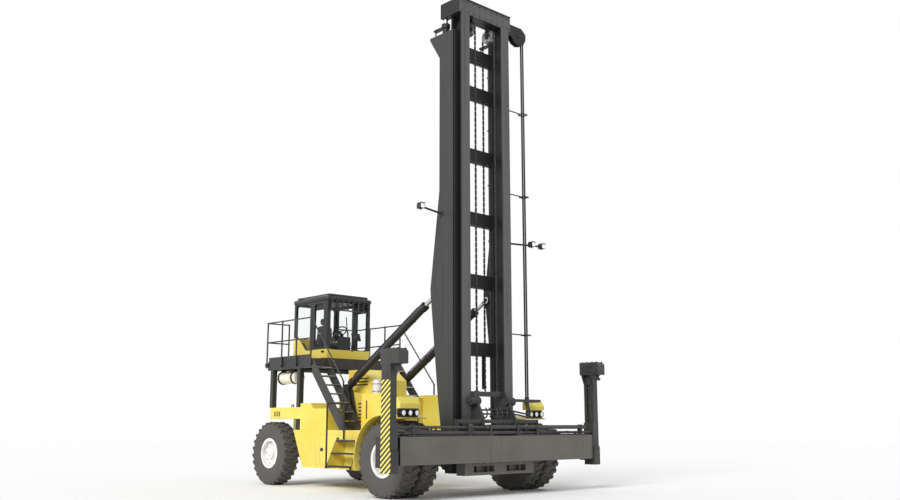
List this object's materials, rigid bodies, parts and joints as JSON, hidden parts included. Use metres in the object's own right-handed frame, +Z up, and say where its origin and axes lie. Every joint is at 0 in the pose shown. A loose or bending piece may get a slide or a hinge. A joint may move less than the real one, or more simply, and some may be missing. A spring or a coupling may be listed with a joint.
{
  "type": "empty container handler",
  "caption": "Port lift truck with a tall two-stage mast and a telescopic side spreader that grips empty containers by their top corners, with a raised cab over a rear-steered chassis.",
  "frame": {"origin": "on the ground, under the middle of the machine's box", "axes": "+X is the machine's left, -Y is where the mast and spreader look, +Z is up"},
  "size_m": [6.072, 7.5, 10.7208],
  "materials": {
    "yellow_paint": "semi-gloss",
    "dark_paint": "satin",
    "striped_paint": "satin, black and yellow stripes",
    "rim_paint": "satin",
    "tyre_rubber": "matte",
    "rod_chrome": "polished",
    "chain_steel": "oiled",
    "engine_iron": "as cast",
    "window_glass": "clear",
    "seat_cloth": "woven",
    "cab_plastic": "grained"
  },
  "bodies": {
    "chassis": {"chassis_frame": "dark_paint", "hull_sides": "yellow_paint", "drive_axle": "dark_paint", "steer_axle": "dark_paint", "counterweight": "yellow_paint", "engine_block": "engine_iron", "engine_hood": "yellow_paint", "service_tanks": "yellow_paint", "front_fenders": "yellow_paint", "side_steps": "dark_paint", "stair_stringers": "dark_paint", "stair_treads": "dark_paint", "platform": "dark_paint", "railings": "dark_paint", "cab_floor": "dark_paint", "cab_pillars": "dark_paint", "cab_panels": "yellow_paint", "cab_glass": "window_glass", "cab_roof": "dark_paint", "cab_seat": "seat_cloth", "cab_console": "cab_plastic"},
    "left_cab_door": {"left_door": "yellow_paint", "left_door_glass": "window_glass"},
    "right_cab_door": {"right_door": "yellow_paint", "right_door_glass": "window_glass"},
    "left_front_wheels": {"left_front_tyres": "tyre_rubber", "left_front_rims": "rim_paint"},
    "right_front_wheels": {"right_front_tyres": "tyre_rubber", "right_front_rims": "rim_paint"},
    "left_steering_knuckle": {"left_knuckle": "dark_paint"},
    "right_steering_knuckle": {"right_knuckle": "dark_paint"},
    "left_rear_wheel": {"left_rear_tyre": "tyre_rubber", "left_rear_rim": "rim_paint"},
    "right_rear_wheel": {"right_rear_tyre": "tyre_rubber", "right_rear_rim": "rim_paint"},
    "steering_rod": {"steer_rod": "rod_chrome"},
    "tilt_cylinders": {"tilt_barrels": "dark_paint"},
    "tilt_cylinder_rods": {"tilt_rods": "rod_chrome"},
    "outer_mast": {"outer_mast_rails": "dark_paint", "outer_mast_stiffeners": "dark_paint", "outer_mast_ties": "dark_paint", "lift_barrels": "dark_paint", "mast_lamps": "dark_paint"},
    "inner_mast": {"inner_mast_rails": "dark_paint", "inner_mast_ties": "dark_paint", "inner_mast_head": "dark_paint", "mast_rollers": "chain_steel", "lift_rods": "rod_chrome", "chain_hose_tops": "chain_steel", "chain_hose_falls": "chain_steel"},
    "lift_carriage": {"carriage": "dark_paint", "carriage_rollers": "chain_steel"},
    "spreader": {"spreader_beam": "dark_paint", "telescope_barrels": "dark_paint"},
    "left_spreader_arm": {"left_arm": "dark_paint", "left_post": "striped_paint"},
    "right_spreader_arm": {"right_arm": "dark_paint", "right_post": "striped_paint"}
  },
  "joints": [
    {"name": "left_front_spin", "type": "hinge", "parent": "chassis", "child": "left_front_wheels", "pos_m": [2.04, -2.3, 0.745], "axis": [1, 0, 0], "continuous": true},
    {"name": "right_front_spin", "type": "hinge", "parent": "chassis", "child": "right_front_wheels", "pos_m": [-2.04, -2.3, 0.745], "axis": [1, 0, 0], "continuous": true},
    {"name": "right_steer", "type": "hinge", "parent": "chassis", "child": "right_steering_knuckle", "pos_m": [-1.05, 2.9, 0.745], "axis": [0, 0, 1], "range_deg": [-65, 65]},
    {"name": "left_steer", "type": "hinge", "parent": "chassis", "child": "left_steering_knuckle", "pos_m": [1.05, 2.9, 0.745], "axis": [0, 0, 1], "range_deg": [-65, 65]},
    {"name": "steer_rod_slide", "type": "slide", "parent": "chassis", "child": "steering_rod", "axis": [1, 0, 0], "range_m": [-0.18, 0.18]},
    {"name": "left_rear_spin", "type": "hinge", "parent": "left_steering_knuckle", "child": "left_rear_wheel", "pos_m": [1.36, 2.9, 0.745], "axis": [1, 0, 0], "continuous": true},
    {"name": "right_rear_spin", "type": "hinge", "parent": "right_steering_knuckle", "child": "right_rear_wheel", "pos_m": [-1.36, 2.9, 0.745], "axis": [1, 0, 0], "continuous": true},
    {"name": "left_door_swing", "type": "hinge", "parent": "chassis", "child": "left_cab_door", "pos_m": [0.68, 2.467, 3.75], "axis": [0, 0, 1], "range_deg": [0, 90]},
    {"name": "right_door_swing", "type": "hinge", "parent": "chassis", "child": "right_cab_door", "pos_m": [-0.68, 2.467, 3.75], "axis": [0, 0, -1], "range_deg": [0, 90]},
    {"name": "mast_tilt", "type": "hinge", "parent": "chassis", "child": "outer_mast", "pos_m": [0, -2.76, 0.62], "axis": [1, 0, 0], "range_deg": [-4, 4]},
    {"name": "tilt_cylinder_swing", "type": "hinge", "parent": "chassis", "child": "tilt_cylinders", "pos_m": [0, 0.84, 2.28], "axis": [1, 0, 0], "range_deg": [-4, 4]},
    {"name": "tilt_rod_slide", "type": "slide", "parent": "tilt_cylinders", "child": "tilt_cylinder_rods", "axis": [0, -0.8538, 0.5206], "range_m": [-0.24, 0.24]},
    {"name": "mast_lift", "type": "slide", "parent": "outer_mast", "child": "inner_mast", "axis": [0, 0, 1], "range_m": [0, 7.8]},
    {"name": "carriage_lift", "type": "slide", "parent": "inner_mast", "child": "lift_carriage", "axis": [0, 0, 1], "range_m": [0, 7.8], "deforming": ["chain_hose_falls"]},
    {"name": "side_shift", "type": "slide", "parent": "lift_carriage", "child": "spreader", "axis": [1, 0, 0], "range_m": [-0.25, 0.25]},
    {"name": "left_telescope", "type": "slide", "parent": "spreader", "child": "left_spreader_arm", "axis": [1, 0, 0], "range_m": [0, 3.048]},
    {"name": "right_telescope", "type": "slide", "parent": "spreader", "child": "right_spreader_arm", "axis": [-1, 0, 0], "range_m": [0, 3.048]}
  ],
  "couplings": [
    {"joint": "left_steer", "follows": "right_steer", "ratio": 1},
    {"joint": "steer_rod_slide", "follows": "right_steer", "m_per_rad": -0.152},
    {"joint": "tilt_cylinder_swing", "follows": "mast_tilt", "ratio": 0.39092},
    {"joint": "tilt_rod_slide", "follows": "mast_tilt", "m_per_rad": 3.2906},
    {"joint": "carriage_lift", "follows": "mast_lift", "ratio": 1},
    {"joint": "right_telescope", "follows": "left_telescope", "ratio": 1}
  ]
}
